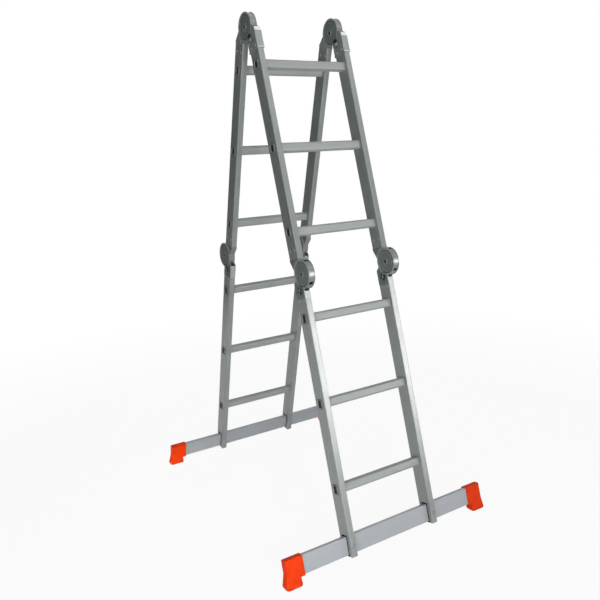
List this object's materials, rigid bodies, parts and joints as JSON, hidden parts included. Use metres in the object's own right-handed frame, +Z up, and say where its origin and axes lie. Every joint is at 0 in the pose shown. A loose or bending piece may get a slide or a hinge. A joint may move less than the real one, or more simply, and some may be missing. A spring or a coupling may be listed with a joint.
{
  "type": "multi position ladder",
  "caption": "Hinged aluminium ladder standing as a double-sided stepladder, with lockable round hinges, tubular rungs and wide stabiliser bars on rubber boots.",
  "frame": {"origin": "on the floor, below the centre of the standing ladder", "axes": "+Z up, X along the rungs, the front sections lean towards -Y and the rear ones towards +Y"},
  "size_m": [0.834, 1.0612, 1.755],
  "materials": {
    "stile": "extruded, satin",
    "rung": "extruded, ribbed treads",
    "bar": "extruded, satin",
    "hinge": "cast, grey coating",
    "fastener": "zinc plated",
    "spring": "bright wire",
    "lock": "black coated",
    "boot": "moulded, orange-red"
  },
  "bodies": {
    "front_upper": {"front_upper_stile_left": "stile", "front_upper_stile_right": "stile", "front_upper_rung_1": "rung", "front_upper_rung_2": "rung", "front_upper_rung_3": "rung", "front_knee_tongue_left": "hinge", "front_knee_tongue_right": "hinge", "top_fork_left": "hinge", "top_fork_right": "hinge", "top_pivot_pins": "fastener", "top_lock_spring_left": "spring", "top_lock_spring_right": "spring", "front_upper_rivets": "fastener"},
    "front_lower": {"front_lower_stile_left": "stile", "front_lower_stile_right": "stile", "front_lower_rung_1": "rung", "front_lower_rung_2": "rung", "front_lower_rung_3": "rung", "front_stabiliser_bar": "bar", "front_boot_left": "boot", "front_boot_right": "boot", "front_knee_fork_left": "hinge", "front_knee_fork_right": "hinge", "front_knee_pivot_pins": "fastener", "front_knee_lock_spring_left": "spring", "front_knee_lock_spring_right": "spring", "front_bar_rivets": "fastener", "front_lower_rivets": "fastener"},
    "rear_upper": {"rear_upper_stile_left": "stile", "rear_upper_stile_right": "stile", "rear_upper_rung_1": "rung", "rear_upper_rung_2": "rung", "rear_upper_rung_3": "rung", "rear_knee_tongue_left": "hinge", "rear_knee_tongue_right": "hinge", "top_tongue_left": "hinge", "top_tongue_right": "hinge", "rear_upper_rivets": "fastener"},
    "rear_lower": {"rear_lower_stile_left": "stile", "rear_lower_stile_right": "stile", "rear_lower_rung_1": "rung", "rear_lower_rung_2": "rung", "rear_lower_rung_3": "rung", "rear_stabiliser_bar": "bar", "rear_boot_left": "boot", "rear_boot_right": "boot", "rear_knee_fork_left": "hinge", "rear_knee_fork_right": "hinge", "rear_knee_pivot_pins": "fastener", "rear_knee_lock_spring_left": "spring", "rear_knee_lock_spring_right": "spring", "rear_bar_rivets": "fastener", "rear_lower_rivets": "fastener"},
    "top_lock_left": {"top_lock_left": "lock"},
    "top_lock_right": {"top_lock_right": "lock"},
    "front_knee_lock_left": {"front_knee_lock_left": "lock"},
    "front_knee_lock_right": {"front_knee_lock_right": "lock"},
    "rear_knee_lock_left": {"rear_knee_lock_left": "lock"},
    "rear_knee_lock_right": {"rear_knee_lock_right": "lock"}
  },
  "joints": [
    {"name": "top_fold", "type": "hinge", "parent": "front_upper", "child": "rear_upper", "pos_m": [0, 0, 1.70709], "axis": [1, 0, 0], "range_deg": [-31, 148]},
    {"name": "front_knee_fold", "type": "hinge", "parent": "front_upper", "child": "front_lower", "pos_m": [0, -0.29428, 0.91555], "axis": [1, 0, 0], "range_deg": [-180, 0]},
    {"name": "rear_knee_fold", "type": "hinge", "parent": "rear_upper", "child": "rear_lower", "pos_m": [0, 0.29428, 0.91555], "axis": [-1, 0, 0], "range_deg": [-180, 0]},
    {"name": "top_lock_left_draw", "type": "slide", "parent": "front_upper", "child": "top_lock_left", "axis": [0, 0.6947, 0.7193], "range_m": [0, 0.008]},
    {"name": "top_lock_right_draw", "type": "slide", "parent": "front_upper", "child": "top_lock_right", "axis": [0, 0.6947, 0.7193], "range_m": [0, 0.008]},
    {"name": "front_knee_lock_left_draw", "type": "slide", "parent": "front_lower", "child": "front_knee_lock_left", "axis": [0, -0.2233, 0.9748], "range_m": [0, 0.008]},
    {"name": "front_knee_lock_right_draw", "type": "slide", "parent": "front_lower", "child": "front_knee_lock_right", "axis": [0, -0.2233, 0.9748], "range_m": [0, 0.008]},
    {"name": "rear_knee_lock_left_draw", "type": "slide", "parent": "rear_lower", "child": "rear_knee_lock_left", "axis": [0, 0.2233, 0.9748], "range_m": [0, 0.008]},
    {"name": "rear_knee_lock_right_draw", "type": "slide", "parent": "rear_lower", "child": "rear_knee_lock_right", "axis": [0, 0.2233, 0.9748], "range_m": [0, 0.008]}
  ]
}
